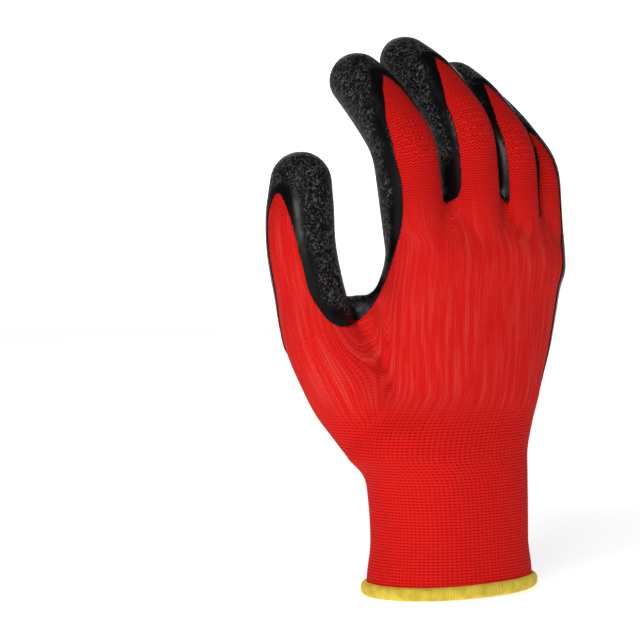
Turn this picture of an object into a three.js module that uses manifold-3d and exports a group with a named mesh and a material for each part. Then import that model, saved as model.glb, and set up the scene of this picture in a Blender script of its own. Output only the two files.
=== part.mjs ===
// A right-hand knitted work glove with a crinkled latex grip coating, held open as a hand holds it.
// Millimetres, +Z up the hand. The origin is the centre of the wrist opening, level with the hem's lower edge.
// The palm faces +Y, the back of the hand -Y, the thumb is on the -X side and the little finger on +X.
import * as THREE from 'three';
import { mergeVertices } from 'three/addons/utils/BufferGeometryUtils.js';
import Module from 'manifold-3d';

const wasm = await Module();
wasm.setup();

// Walls and clearances
const knitWall = 1.4;
const coatWall = 1.0;
const seatGap = 0.3;

// Cuff and hem
const mouthWidth = 73;
const mouthDepth = 54;
const wristWidth = 70;
const wristDepth = 51;
const cuffLength = 59;
const hemHeight = 5.6;
const hemThickness = 6;
const hemTilt = 1;

// Hand, from the cuff's top edge to the webs between the fingers
const handLength = 95;
const palmWidth = 92;
const palmDepth = 36;
const webArch = 12;

// Fingers, from where they start inside the palm to the tip, with their width where they leave the palm
const thumbLength = 144;
const thumbWidth = 25.6;
const indexLength = 106;
const indexWidth = 24.2;
const middleLength = 118;
const middleWidth = 22.8;
const ringLength = 111;
const ringWidth = 21.2;
const littleLength = 98;
const littleWidth = 18.8;

// How far the coating runs down over the cuff, on the palm side
const heelReach = 24;

// Up to here the palm's coating runs round the thumb's root, as a share of handLength
const thumbRootTop = 0.46;

// Shape of the cross-sections: 2 is an ellipse, more is squarer
const palmSquareness = 2.2;
const fingerSquareness = 2.1;

// Facets
const palmSides = 32;
const fingerSides = 14;
const fingerRings = 7;
const tipRings = 3;

const overcut = 20;
const cutterReach = 200;

const cuffTop = hemHeight + hemTilt + cuffLength;
const degrees = Math.PI / 180;

const knitRed = { color: 0xd81f1c, roughness: 0.85, metalness: 0 };
const latexBlack = { color: 0x161617, roughness: 0.45, metalness: 0 };
const hemYellow = { color: 0xd9c13a, roughness: 0.8, metalness: 0 };

// Cross-sections of the cuff. up: share of cuffLength; wide and deep: shares of wristWidth and wristDepth;
// side: share of wristWidth, towards the little finger.
const cuffSections = [
  { up: 0, wide: mouthWidth / wristWidth, deep: mouthDepth / wristDepth, side: 0 },
  { up: 0.25, wide: 1, deep: 1, side: 0 },
  { up: 0.65, wide: 1, deep: 1, side: 0 },
  { up: 0.85, wide: 1.1, deep: 1.03, side: -0.045 },
];

// Cross-sections of the hand. up: share of handLength; wide and deep: shares of palmWidth and palmDepth;
// side: share of palmWidth, towards the little finger; back: share of palmDepth, towards the back of the hand.
const handSections = [
  { up: 0, wide: 0.86, deep: 1.47, side: -0.03, back: 0 },
  { up: 0.18, wide: 0.87, deep: 1.42, side: 0.045, back: 0 },
  { up: 0.36, wide: 0.935, deep: 1.31, side: 0.07, back: 0.03 },
  { up: 0.56, wide: 0.985, deep: 1.15, side: 0.085, back: 0.1 },
  { up: 0.76, wide: 0.985, deep: 0.97, side: 0.087, back: 0.19 },
  { up: 0.88, wide: 0.95, deep: 0.66, side: 0.087, back: 0.2 },
  { up: 0.95, wide: 0.9, deep: 0.44, side: 0.087, back: 0.22 },
  { up: 1, wide: 0.8, deep: 0.18, side: 0.087, back: 0.24 },
];

// The soft web between the thumb and the palm, as sections. up: share of handLength; side and wide: shares of
// palmWidth; front, deep and slant: shares of palmDepth, slant being how far it leans back across its width.
const thumbWebSections = [
  { up: 0, side: -0.26, front: 0.12, wide: 0.26, deep: 0.9, slant: 0.2 },
  { up: 0.12, side: -0.31, front: 0.17, wide: 0.28, deep: 0.95, slant: 0.28 },
  { up: 0.28, side: -0.41, front: 0.25, wide: 0.3, deep: 0.82, slant: 0.33 },
  { up: 0.42, side: -0.475, front: 0.28, wide: 0.29, deep: 0.58, slant: 0.36 },
  { up: 0.5, side: -0.495, front: 0.28, wide: 0.24, deep: 0.38, slant: 0.34 },
  { up: 0.53, side: -0.5, front: 0.28, wide: 0.12, deep: 0.16, slant: 0.18 },
];

// Thickness of a finger along its length. at: share of the length; wide: share of its width at the palm.
const fingerProfile = [
  { at: 0, wide: 0.8 },
  { at: 0.16, wide: 0.98 },
  { at: 0.4, wide: 1 },
  { at: 0.54, wide: 1.01 },
  { at: 0.67, wide: 0.96 },
  { at: 0.79, wide: 0.92 },
  { at: 0.91, wide: 0.84 },
];
const thumbProfile = [
  { at: 0, wide: 1.22 },
  { at: 0.13, wide: 1.44 },
  { at: 0.28, wide: 1.44 },
  { at: 0.46, wide: 1.18 },
  { at: 0.64, wide: 1.02 },
  { at: 0.82, wide: 0.98 },
  { at: 0.92, wide: 0.88 },
];

// Where the coating stops on a finger's sides. at: share of the length; edge: height above the finger's middle
// towards its back, as a share of its half thickness. Over 1 it goes all round.
const fingerCoat = [
  { at: 0.13, edge: -0.3 },
  { at: 0.3, edge: 0.42 },
  { at: 0.56, edge: 0.5 },
  { at: 0.83, edge: 1.06 },
  { at: 1.1, edge: 1.6 },
];
const thumbCoat = [
  { at: 0.45, edge: -1.06 },
  { at: 0.54, edge: 0.5 },
  { at: 0.6, edge: 0.75 },
  { at: 0.715, edge: 0.82 },
  { at: 0.8, edge: 0.91 },
  { at: 0.9, edge: 1.06 },
  { at: 1.1, edge: 1.6 },
];

// Each finger. side: its start's place as a share of palmWidth from the wrist's middle; back: as a share of
// palmDepth; up: as a share of handLength. splay leans it sideways, turn is the way it curls, from the palm's
// direction towards the little finger, and bends holds its lean from each share of the length on, in degrees.
const fingers = [
  {
    length: thumbLength, width: thumbWidth, profile: thumbProfile, coat: thumbCoat,
    side: -0.102, back: -0.27, up: -0.145, splay: -10, turn: 80,
    bends: [{ at: 0, lean: -43 }, { at: 0.48, lean: -6 }, { at: 0.75, lean: 15 }],
  },
  {
    length: indexLength, width: indexWidth, profile: fingerProfile, coat: fingerCoat,
    side: -0.255, back: 0.255, up: 0.585, splay: -2, turn: 0,
    bends: [{ at: 0, lean: 8 }, { at: 0.555, lean: 44 }, { at: 0.79, lean: 53 }],
  },
  {
    length: middleLength, width: middleWidth, profile: fingerProfile, coat: fingerCoat,
    side: 0.024, back: 0.4, up: 0.585, splay: -1, turn: 0,
    bends: [{ at: 0, lean: 6 }, { at: 0.54, lean: 46 }, { at: 0.775, lean: 60 }],
  },
  {
    length: ringLength, width: ringWidth, profile: fingerProfile, coat: fingerCoat,
    side: 0.265, back: 0.395, up: 0.54, splay: 1.5, turn: 0,
    bends: [{ at: 0, lean: 7 }, { at: 0.55, lean: 47 }, { at: 0.785, lean: 58 }],
  },
  {
    length: littleLength, width: littleWidth, profile: fingerProfile, coat: fingerCoat,
    side: 0.475, back: 0.255, up: 0.51, splay: 1.5, turn: 0,
    bends: [{ at: 0, lean: 7 }, { at: 0.565, lean: 47 }, { at: 0.79, lean: 51 }],
  },
];

// The coating's lower edge, seen from the palm. side: share of palmWidth from the wrist's middle;
// up: share of handLength above the coating's lowest point.
const heelOutline = [
  { side: 1, up: 0.6 },
  { side: 0.5, up: 0.36 },
  { side: 0.43, up: 0.29 },
  { side: 0.41, up: 0.22 },
  { side: 0.375, up: 0.13 },
  { side: 0.337, up: 0.05 },
  { side: 0.27, up: 0.01 },
  { side: 0.2, up: 0 },
  { side: 0.065, up: 0.025 },
  { side: -0.11, up: 0.07 },
  { side: -0.23, up: 0.107 },
  { side: -0.33, up: 0.145 },
  { side: -0.46, up: 0.3 },
  { side: -0.58, up: 0.51 },
  { side: -1, up: 0.9 },
];

// Where the coating stops on the hand's edges. up: share of handLength; thumbEdge, webEdge and littleEdge:
// places in front of the wrist's middle, as shares of palmDepth, at the three places across the hand below.
const palmCoat = [
  { up: -0.6, thumbEdge: 0.83, webEdge: 0.25, littleEdge: 0 },
  { up: -0.03, thumbEdge: 0.83, webEdge: 0.25, littleEdge: -0.02 },
  { up: 0.03, thumbEdge: 0.83, webEdge: 0.25, littleEdge: -0.2 },
  { up: 0.11, thumbEdge: 0.83, webEdge: 0.25, littleEdge: -0.33 },
  { up: 0.44, thumbEdge: 0.83, webEdge: 0.25, littleEdge: -0.33 },
  { up: 0.48, thumbEdge: 0.02, webEdge: -0.04, littleEdge: -0.33 },
  { up: 0.6, thumbEdge: 0, webEdge: -0.06, littleEdge: -0.33 },
  { up: 0.8, thumbEdge: -0.2, webEdge: -0.25, littleEdge: -0.33 },
  { up: 1.1, thumbEdge: -0.33, webEdge: -0.35, littleEdge: -0.37 },
];
const thumbEdgeSide = -0.58;
const webEdgeSide = -0.41;
const littleEdgeSide = 0.59;

// The value of a table's column at a place, drawn straight from row to row.
function readTable(rows, key, place, column) {
  const next = rows.findIndex((row) => row[key] >= place);
  if (next < 0) return rows[rows.length - 1][column];
  if (next === 0) return rows[0][column];
  const before = rows[next - 1];
  const after = rows[next];
  const share = (place - before[key]) / (after[key] - before[key]);
  return THREE.MathUtils.lerp(before[column], after[column], share);
}

// A point of a rounded cross-section, for half sizes of 1.
function roundPoint(turn, squareness) {
  const c = Math.cos(turn);
  const s = Math.sin(turn);
  return [
    Math.sign(c) * Math.abs(c) ** (2 / squareness),
    Math.sign(s) * Math.abs(s) ** (2 / squareness),
  ];
}

// The turns of a ring's points, in order round it.
const turnsOf = (sides) => Array.from({ length: sides }, (_, i) => (i / sides) * 2 * Math.PI);

// A closed skin over rings of equal, even counts of points. Its ends are closed by strips from side to side,
// or joined into a hoop.
function skin(rings, hoop = false) {
  const count = rings[0].length;
  const points = rings.flat();
  const faces = [];
  const last = hoop ? rings.length : rings.length - 1;
  for (let r = 0; r < last; r++) {
    const above = (r + 1) % rings.length;
    for (let i = 0; i < count; i++) {
      const j = (i + 1) % count;
      const [a, b, c, d] = [r * count + i, r * count + j, above * count + j, above * count + i];
      faces.push(a, b, c, a, c, d);
    }
  }
  if (!hoop) {
    for (const [ring, turned] of [[0, true], [rings.length - 1, false]]) {
      const close = (...corners) => faces.push(...(turned ? corners.reverse() : corners));
      const first = ring * count;
      for (let i = 0; i < count / 2; i++) {
        const [a, b, c] = [first + i, first + i + 1, first + count - i - 1];
        if (b !== c) close(a, b, c);
        if (i > 0) close(a, c, first + count - i);
      }
    }
  }
  const geometry = new THREE.BufferGeometry().setFromPoints(points);
  geometry.setIndex(faces);
  return geometry;
}

// A closed geometry as a solid for joining and cutting.
function solidOf(geometry) {
  const bare = geometry.clone();
  bare.deleteAttribute('normal');
  bare.deleteAttribute('uv');
  const merged = mergeVertices(bare);
  const vertProperties = new Float32Array(merged.attributes.position.array);
  const triVerts = new Uint32Array(merged.index.array);
  return new wasm.Manifold(new wasm.Mesh({ numProp: 3, vertProperties, triVerts }));
}

// A solid as a named mesh of the scene.
function meshOf(solid, name, look) {
  const made = solid.getMesh();
  const geometry = new THREE.BufferGeometry();
  geometry.setAttribute('position', new THREE.BufferAttribute(new Float32Array(made.vertProperties), 3));
  geometry.setIndex(new THREE.BufferAttribute(new Uint32Array(made.triVerts), 1));
  geometry.computeVertexNormals();
  const mesh = new THREE.Mesh(geometry, new THREE.MeshStandardMaterial(look));
  mesh.name = name;
  return mesh;
}

// How far the cuff's lower edge rises and falls round the wrist: it is lowest on the thumb's side.
const tiltAt = (turn) => hemTilt * Math.cos(turn);

// The hand and cuff without fingers, grown by offset all round.
function bodySolid(offset) {
  const ring = (height, width, depth, x, y, rise = () => 0) => turnsOf(palmSides).map((turn) => {
    const [across, front] = roundPoint(turn, palmSquareness);
    return new THREE.Vector3(
      x + across * (width / 2 + offset),
      y + front * (depth / 2 + offset),
      height + rise(turn, across),
    );
  });
  const mouth = (height) => ring(height, mouthWidth, mouthDepth, 0, 0, tiltAt);
  const rings = offset < 0 ? [mouth(hemHeight + hemTilt - overcut)] : [];
  rings.push(mouth(hemHeight + hemTilt));
  for (const row of cuffSections.slice(1)) {
    const height = hemHeight + hemTilt + row.up * cuffLength;
    rings.push(ring(height, row.wide * wristWidth, row.deep * wristDepth, row.side * wristWidth, 0));
  }
  for (const row of handSections) {
    const arch = (turn, across) => -webArch * row.up ** 4 * across * across;
    const height = cuffTop + row.up * handLength + offset * Math.max(0, row.up * 5 - 4);
    const [x, y] = [row.side * palmWidth, -row.back * palmDepth];
    rings.push(ring(height, row.wide * palmWidth, row.deep * palmDepth, x, y, arch));
  }
  return solidOf(skin(rings));
}

// The middle line of a finger: a function from the share of its length to its place and its three directions.
function fingerLine(finger) {
  const turn = finger.turn * degrees;
  const splay = finger.splay * degrees;
  const curl = new THREE.Vector3(Math.sin(turn), Math.cos(turn), 0);
  const across = new THREE.Vector3(Math.cos(turn), -Math.sin(turn), 0);
  const upright = new THREE.Vector3(0, 0, Math.cos(splay)).addScaledVector(across, Math.sin(splay));
  const side = new THREE.Vector3(0, 0, -Math.sin(splay)).addScaledVector(across, Math.cos(splay));
  const steps = 60;
  const soft = 0.1;
  const leanAt = (share) => {
    let lean = finger.bends[0].lean;
    for (let b = 1; b < finger.bends.length; b++) {
      const done = THREE.MathUtils.smoothstep(share, finger.bends[b].at - soft, finger.bends[b].at + soft);
      lean += (finger.bends[b].lean - finger.bends[b - 1].lean) * done;
    }
    return lean * degrees;
  };
  const alongAt = (share) => {
    const lean = leanAt(share);
    return upright.clone().multiplyScalar(Math.cos(lean)).addScaledVector(curl, Math.sin(lean));
  };
  const places = [new THREE.Vector3(
    finger.side * palmWidth,
    -finger.back * palmDepth,
    cuffTop + finger.up * handLength,
  )];
  for (let k = 0; k < steps; k++) {
    places.push(places[k].clone().addScaledVector(alongAt((k + 0.5) / steps), finger.length / steps));
  }
  return (share) => {
    const place = Math.min(share, 1) * steps;
    const before = Math.min(Math.floor(place), steps - 1);
    const at = places[before].clone().lerp(places[before + 1], place - before);
    const lean = leanAt(share);
    const front = curl.clone().multiplyScalar(Math.cos(lean)).addScaledVector(upright, -Math.sin(lean));
    return { at, along: alongAt(share), side, front };
  };
}

// One finger, closed at both ends, grown by offset.
function fingerSolid(finger, offset) {
  const line = fingerLine(finger);
  const last = finger.profile[finger.profile.length - 1].at;
  const ring = (share, shrink, ahead) => {
    const { at, along, side, front } = line(share);
    const half = readTable(finger.profile, 'at', share, 'wide') * finger.width / 2 + offset;
    return turnsOf(fingerSides).map((turn) => {
      const [a, b] = roundPoint(turn, fingerSquareness);
      const point = at.clone().addScaledVector(along, ahead);
      return point.addScaledVector(side, a * half * shrink).addScaledVector(front, b * half * shrink);
    });
  };
  const rings = [];
  for (let k = 0; k <= fingerRings; k++) rings.push(ring((k / fingerRings) * last, 1, k === 0 ? -offset : 0));
  const tipReach = (1 - last) * finger.length + offset;
  for (let k = 1; k <= tipRings; k++) {
    const rise = (k / (tipRings + 0.5)) * 90 * degrees;
    rings.push(ring(last, Math.cos(rise), Math.sin(rise) * tipReach));
  }
  return solidOf(skin(rings));
}

// The web between the thumb and the palm, grown by offset.
function thumbWebSolid(offset) {
  const rings = thumbWebSections.map((row, index) => {
    const top = index === thumbWebSections.length - 1;
    return turnsOf(fingerSides).map((turn) => new THREE.Vector3(
      row.side * palmWidth + Math.cos(turn) * (row.wide * palmWidth / 2 + offset),
      row.front * palmDepth + Math.sin(turn) * (row.deep * palmDepth / 2 + offset)
        - Math.cos(turn) * row.slant * palmDepth,
      cuffTop + row.up * handLength + (top ? offset : 0),
    ));
  });
  return solidOf(skin(rings));
}

// The whole glove's outer form, grown by offset.
function gloveForm(offset) {
  const parts = fingers.map((finger) => fingerSolid(finger, offset));
  return parts.reduce((form, part) => form.add(part), bodySolid(offset).add(thumbWebSolid(offset)));
}

// A block from one height to another, wide enough to cut the whole glove.
function slab(low, high) {
  const block = new THREE.BoxGeometry(cutterReach, cutterReach, high - low);
  return solidOf(block.translate(0, 0, (low + high) / 2));
}

// The room on a finger's palm side that the coating fills.
function fingerDip(finger) {
  const line = fingerLine(finger);
  const reach = finger.width;
  const first = finger.coat[0].at;
  const steps = 14;
  const rings = [];
  for (let k = 0; k <= steps; k++) {
    const share = first + (k / steps) * (1 - first);
    const { at, along, side, front } = line(share);
    const half = readTable(finger.profile, 'at', share, 'wide') * finger.width / 2 + seatGap + coatWall;
    const edge = -readTable(finger.coat, 'at', share, 'edge') * half;
    const ahead = k === steps ? reach : 0;
    rings.push([[-reach, edge], [reach, edge], [reach, reach], [-reach, reach]].map(([a, b]) => (
      at.clone().addScaledVector(along, ahead).addScaledVector(side, a).addScaledVector(front, b)
    )));
  }
  return solidOf(skin(rings));
}

// The room in front of the hand that the coating fills.
function palmDip() {
  const reach = cutterReach / 2;
  const room = skin(palmCoat.map((row) => {
    const thumb = [thumbEdgeSide * palmWidth, row.thumbEdge * palmDepth];
    const web = [webEdgeSide * palmWidth, row.webEdge * palmDepth];
    const little = [littleEdgeSide * palmWidth, row.littleEdge * palmDepth];
    const slope = (web[1] - thumb[1]) / (web[0] - thumb[0]);
    const far = [-reach, thumb[1] + slope * (-reach - thumb[0])];
    const outline = [far, web, little, [reach, little[1]], [reach, 2 * reach], [-reach, 2 * reach]];
    return outline.map(([x, y]) => new THREE.Vector3(x, y, cuffTop + row.up * handLength));
  }));
  const edge = new THREE.Shape();
  const lowest = cuffTop - heelReach;
  const [first, ...others] = heelOutline.map((row) => (
    new THREE.Vector2(row.side * palmWidth, lowest + row.up * handLength)
  ));
  edge.moveTo(first.x, first.y);
  edge.splineThru(others);
  edge.lineTo(-cutterReach, cutterReach * 2);
  edge.lineTo(cutterReach, cutterReach * 2);
  const front = new THREE.ExtrudeGeometry(edge, { depth: cutterReach * 2, bevelEnabled: false, curveSegments: 2 });
  return solidOf(room).intersect(solidOf(front.rotateX(90 * degrees).translate(0, cutterReach, 0)));
}

// The latex skin: the glove's form grown by its wall, kept where the glove was dipped.
function coatSolid() {
  const outer = seatGap + coatWall;
  const [thumb] = fingers;
  const thumbRoot = fingerSolid(thumb, outer).intersect(slab(0, cuffTop + thumbRootTop * handLength));
  const hand = bodySolid(outer).add(thumbWebSolid(outer)).add(thumbRoot).intersect(palmDip());
  const dipped = fingers.reduce((form, finger) => (
    form.add(fingerSolid(finger, outer).intersect(fingerDip(finger)))
  ), hand);
  return dipped.subtract(gloveForm(seatGap));
}

// The rolled hem: a hoop of rounded sections along the cuff's wall.
function hemSolid() {
  const sections = 8;
  const halfHeight = (hemHeight - seatGap) / 2;
  const rings = turnsOf(palmSides).map((turn) => {
    const [across, front] = roundPoint(turn, palmSquareness);
    const middle = new THREE.Vector3(
      across * (mouthWidth - knitWall) / 2,
      front * (mouthDepth - knitWall) / 2,
      halfHeight + hemTilt + tiltAt(turn),
    );
    const out = new THREE.Vector3(Math.cos(turn), Math.sin(turn), 0);
    return Array.from({ length: sections }, (_, k) => {
      const around = (k + 0.5) / sections * 2 * Math.PI;
      const point = middle.clone().addScaledVector(out, Math.cos(around) * hemThickness / 2);
      point.z -= Math.sin(around) / Math.sin(67.5 * degrees) * halfHeight;
      return point;
    });
  });
  return solidOf(skin(rings, true));
}

const wall = gloveForm(0).subtract(gloveForm(-knitWall));
const glove = new THREE.Group();
glove.name = 'glove';
glove.add(
  meshOf(wall.intersect(slab(cuffTop + seatGap / 2, cutterReach * 2)), 'knit_liner', knitRed),
  meshOf(wall.intersect(slab(-overcut, cuffTop - seatGap / 2)), 'knit_cuff', knitRed),
  meshOf(hemSolid(), 'hem', hemYellow),
  meshOf(coatSolid(), 'latex_coating', latexBlack),
);

export default glove;
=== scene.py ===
"""A right-hand knitted work glove with a crinkled latex grip coating, held open as a hand holds it.

Metres. +Z runs up the hand, +Y comes out of the palm and the thumb is on the -X side. The glove's outer
form is made once, as closed tubes that are melted together. The knit, the coating and the inner wall are
all taken from it, so they fit on each other.
"""

import math

import bmesh
import bpy
import numpy as np
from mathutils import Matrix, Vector
from mathutils.kdtree import KDTree


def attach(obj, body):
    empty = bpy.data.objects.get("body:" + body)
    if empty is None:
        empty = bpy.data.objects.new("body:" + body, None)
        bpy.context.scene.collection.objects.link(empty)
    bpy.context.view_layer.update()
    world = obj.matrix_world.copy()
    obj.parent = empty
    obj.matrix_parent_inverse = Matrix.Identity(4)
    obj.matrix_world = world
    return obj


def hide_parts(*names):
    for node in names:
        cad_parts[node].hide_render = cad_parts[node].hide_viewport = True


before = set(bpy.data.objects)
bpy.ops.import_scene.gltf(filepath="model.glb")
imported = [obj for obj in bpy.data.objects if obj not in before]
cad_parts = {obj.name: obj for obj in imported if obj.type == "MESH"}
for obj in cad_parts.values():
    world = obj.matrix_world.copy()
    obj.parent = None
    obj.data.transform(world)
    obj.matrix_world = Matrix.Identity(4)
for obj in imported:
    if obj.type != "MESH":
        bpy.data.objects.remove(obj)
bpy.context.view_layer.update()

MM = 0.001

# Sizes of the real glove, in millimetres.
KNIT_WALL = 1.4
COAT_WALL, COAT_EDGE_WALL, COAT_EDGE_WIDTH = 0.85, 0.45, 3.5
COAT_SEAT = 0.08
COAT_LOWEST = 38
WALE, COURSE = 1.04, 1.0

MOUTH_WIDTH, MOUTH_DEPTH = 73, 54
WRIST_WIDTH, WRIST_DEPTH = 70, 51
HEM_HEIGHT, HEM_THICKNESS, HEM_TILT = 5.6, 6, 1
CUFF_LENGTH = 59
CUFF_TOP = HEM_HEIGHT + HEM_TILT + CUFF_LENGTH
HAND_LENGTH = 95
WEB_ARCH = 12
PALM_SQUARENESS, FINGER_SQUARENESS, HEM_SQUARENESS = 2.2, 2.1, 2.5
# Heights between which the mouth's tilt fades out up the cuff.
TILT_FADES = (6, 30)

# The skin's mesh step in millimetres, and the sides and rings of each tube that it is melted from.
SKIN_STEP = 1.3
HAND_MESH, WEB_MESH, FINGER_MESH = (96, 100), (48, 40), (48, 80)

# Wales round the cuff, which is an even count so that the ribs close.
WALES_ROUND = 216


# Small tools

def smooth_table(rows, place, column, key="at"):
    """The value of a table's column at a place, drawn as a soft curve through the rows."""
    keys = [row[key] for row in rows]
    values = [row[column] for row in rows]
    if place <= keys[0]:
        return values[0]
    if place >= keys[-1]:
        return values[-1]
    n = next(i for i, k in enumerate(keys) if k >= place)
    slopes = []
    for i in (n - 1, n):
        if i == 0 or i == len(keys) - 1:
            slopes.append(0.0 if i == 0 else (values[i] - values[i - 1]) / (keys[i] - keys[i - 1]))
            continue
        before = (values[i] - values[i - 1]) / (keys[i] - keys[i - 1])
        after = (values[i + 1] - values[i]) / (keys[i + 1] - keys[i])
        slopes.append(0.0 if before * after <= 0 else 2 * before * after / (before + after))
    span = keys[n] - keys[n - 1]
    t = (place - keys[n - 1]) / span
    return ((1 + 2 * t) * (1 - t) ** 2 * values[n - 1] + t * (1 - t) ** 2 * span * slopes[0]
            + t * t * (3 - 2 * t) * values[n] + t * t * (t - 1) * span * slopes[1])


def soft_step(low, high, place):
    """0 up to low, 1 from high on and a soft rise between, for numbers and numpy arrays alike. Where low is
    the greater of the two, it falls instead."""
    t = np.clip((place - low) / (high - low), 0.0, 1.0)
    return t * t * (3 - 2 * t)


def round_point(turn, squareness):
    """A point of a rounded cross-section for half sizes of 1: 2 is an ellipse, more is squarer."""
    c, s = math.cos(turn), math.sin(turn)
    return (math.copysign(abs(c) ** (2 / squareness), c), math.copysign(abs(s) ** (2 / squareness), s))


def new_piece(name, bm):
    """A bmesh as a piece of the scene, at the origin."""
    mesh = bpy.data.meshes.new(name)
    bm.to_mesh(mesh)
    bm.free()
    mesh.shade_smooth()
    piece = bpy.data.objects.new(name, mesh)
    bpy.context.scene.collection.objects.link(piece)
    return piece


def settle(piece):
    """Applies a piece's modifiers to its mesh."""
    depsgraph = bpy.context.evaluated_depsgraph_get()
    done = bpy.data.meshes.new_from_object(piece.evaluated_get(depsgraph))
    old = piece.data
    piece.modifiers.clear()
    piece.data = done
    bpy.data.meshes.remove(old)
    piece.data.name = piece.name


def between_ends(share):
    """0 at a tube's two ends, where each closes to a point, and 1 between them."""
    return 0.0 if share < 1e-6 or share > 1 - 1e-6 else 1.0


def past_end(share, end):
    """A share of a tube's length, counted without its two flat ends, which take a share of end each."""
    return min(max((share - end) / (1 - 2 * end), 0), 1)


def add_tube(bm, sides, rings, place):
    """Adds a closed tube. place(turn, share) gives the point at a turn round it and a share of its length."""
    sheet = bmesh.ops.create_grid(bm, x_segments=sides, y_segments=rings, size=0.5)["verts"]
    for vert in sheet:
        vert.co = place((vert.co.x + 0.5) * 2 * math.pi, vert.co.y + 0.5)
    bmesh.ops.remove_doubles(bm, verts=sheet, dist=1e-7)


# The hand's form

# Cross-sections of cuff and hand, in millimetres. at: height; side: towards the little finger; back: towards
# the back of the hand.
HAND = [
    {"at": -6, "wide": MOUTH_WIDTH, "deep": MOUTH_DEPTH, "side": 0, "back": 0},
    {"at": HEM_HEIGHT + HEM_TILT, "wide": MOUTH_WIDTH, "deep": MOUTH_DEPTH, "side": 0, "back": 0},
    {"at": 21.3, "wide": WRIST_WIDTH, "deep": WRIST_DEPTH, "side": 0, "back": 0},
    {"at": 45, "wide": 72.4, "deep": 51, "side": -1.3, "back": 0},
    {"at": 50, "wide": 75.6, "deep": 51.5, "side": -2.9, "back": 0},
    {"at": 56.7, "wide": 84, "deep": 52.5, "side": -6.8, "back": 0},
    {"at": 65.6, "wide": 85, "deep": 52.9, "side": -5.3, "back": 0},
    {"at": 82.7, "wide": 79, "deep": 51.1, "side": 3.3, "back": 0},
    {"at": 99.8, "wide": 84.8, "deep": 47.2, "side": 5.6, "back": 1.1},
    {"at": 118.8, "wide": 88.8, "deep": 41.4, "side": 6.9, "back": 3.6},
    {"at": 137.8, "wide": 90.6, "deep": 34.9, "side": 8, "back": 6.8},
    {"at": 149.2, "wide": 87.4, "deep": 23.8, "side": 8, "back": 7.2},
    {"at": 155.8, "wide": 82.8, "deep": 15.8, "side": 8, "back": 7.9},
    {"at": 160.6, "wide": 73.6, "deep": 6.5, "side": 8, "back": 8.6},
]

# The soft web between thumb and palm, in millimetres. front: towards the palm's side; slant: how far it
# leans back across its width.
THUMB_WEB = [
    {"at": 65.6, "side": -23.9, "front": 4.3, "wide": 23.9, "deep": 32.4, "slant": 7.2},
    {"at": 77, "side": -28.5, "front": 6.1, "wide": 25.8, "deep": 34.2, "slant": 10.1},
    {"at": 92.2, "side": -37.7, "front": 9, "wide": 27.6, "deep": 29.5, "slant": 11.9},
    {"at": 105.5, "side": -43.7, "front": 10.1, "wide": 26.7, "deep": 20.9, "slant": 13},
    {"at": 113.1, "side": -45, "front": 10.1, "wide": 25, "deep": 15, "slant": 13.5},
    {"at": 117.5, "side": -45.3, "front": 10.1, "wide": 22, "deep": 9, "slant": 12.5},
    {"at": 119.5, "side": -45.5, "front": 10.1, "wide": 12, "deep": 5, "slant": 7},
]
# How much higher the web's top runs on the index finger's side, where the web is as wide as WEB_RISE_WIDTH,
# and the heights between which that sets in.
WEB_RISE, WEB_RISE_WIDTH, WEB_RISE_POWER = 34, 25, 5
WEB_RISE_HEIGHTS = (95, 115)

# Thickness of a finger along its length. wide: share of its width.
FINGER_PROFILE = [
    {"at": 0, "wide": 0.8},
    {"at": 0.16, "wide": 0.98},
    {"at": 0.4, "wide": 1},
    {"at": 0.54, "wide": 1.01},
    {"at": 0.67, "wide": 0.96},
    {"at": 0.79, "wide": 0.92},
    {"at": 0.91, "wide": 0.84},
]
LITTLE_PROFILE = [{"at": 0, "wide": 0.45}] + FINGER_PROFILE[1:]
THUMB_PROFILE = [
    {"at": 0, "wide": 1.22},
    {"at": 0.13, "wide": 1.44},
    {"at": 0.28, "wide": 1.44},
    {"at": 0.46, "wide": 1.16},
    {"at": 0.64, "wide": 1},
    {"at": 0.82, "wide": 0.98},
    {"at": 0.92, "wide": 0.88},
]

# Each finger's start inside the palm, length and width in millimetres. splay leans it sideways, turn is the
# way it curls, from the palm's direction towards the little finger, and bends is its lean, in degrees, from
# each share of the length on.
FINGERS = {
    "thumb": {"start": (-11.1, 11.3, 51.8), "length": 145, "width": 25.6, "profile": THUMB_PROFILE,
              "splay": -10, "turn": 80, "bends": [(0, -43), (0.48, -6), (0.75, 15)]},
    "index": {"start": (-23.5, -9.2, 121.2), "length": 106, "width": 24.2, "profile": FINGER_PROFILE,
              "splay": -2, "turn": 0, "bends": [(0, 8), (0.555, 44), (0.79, 53)]},
    "middle": {"start": (2.2, -14.4, 121.2), "length": 118, "width": 22.8, "profile": FINGER_PROFILE,
               "splay": -1, "turn": 0, "bends": [(0, 6), (0.54, 46), (0.775, 60)]},
    "ring": {"start": (24.4, -14.2, 116.9), "length": 111, "width": 21.2, "profile": FINGER_PROFILE,
             "splay": 1.5, "turn": 0, "bends": [(0, 7), (0.55, 47), (0.785, 58)]},
    "little": {"start": (43.7, -9.2, 114), "length": 98, "width": 18.8, "profile": LITTLE_PROFILE,
               "splay": 1.5, "turn": 0, "bends": [(0, 7), (0.565, 47), (0.79, 51)]},
}
LINE_STEPS = 60
BEND_SOFTNESS = 0.1
# The share of a finger's rings up to its rounded tip.
TIP_STARTS = 0.85


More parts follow.
